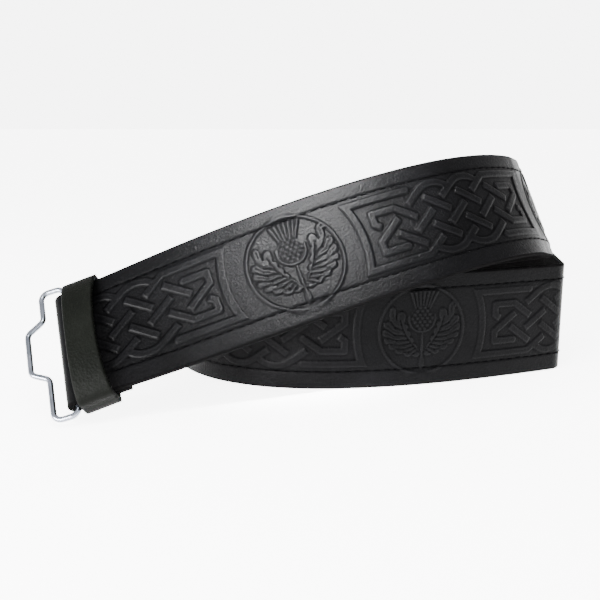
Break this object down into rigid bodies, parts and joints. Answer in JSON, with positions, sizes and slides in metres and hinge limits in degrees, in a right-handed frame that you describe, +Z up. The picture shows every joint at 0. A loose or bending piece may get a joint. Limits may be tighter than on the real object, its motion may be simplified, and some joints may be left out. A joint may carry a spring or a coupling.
{
  "type": "kilt belt",
  "caption": "Wide embossed leather kilt belt, loosely coiled on its edge, with a folded end, a leather keeper loop and a swinging wire buckle frame.",
  "frame": {"origin": "on the floor, under the middle of the belt's bounding box", "axes": "+Z up, -Y towards the front of the coil where the folded end crosses over, the wire frame lies at the -X end"},
  "size_m": [0.274, 0.235, 0.1136],
  "materials": {
    "strap": "black embossed leather, semi-gloss",
    "keeper": "black leather, matt, raw cut edge",
    "wire_frame": "bright plated steel wire"
  },
  "bodies": {
    "belt": {"strap": "strap", "keeper": "keeper"},
    "frame": {"wire_frame": "wire_frame"}
  },
  "joints": [
    {"name": "frame_swing", "type": "hinge", "parent": "belt", "child": "frame", "pos_m": [-0.11378, -0.0921, 0.02853], "axis": [-0.2497, 0.6701, 0.6989], "range_deg": [-90, 90]}
  ]
}
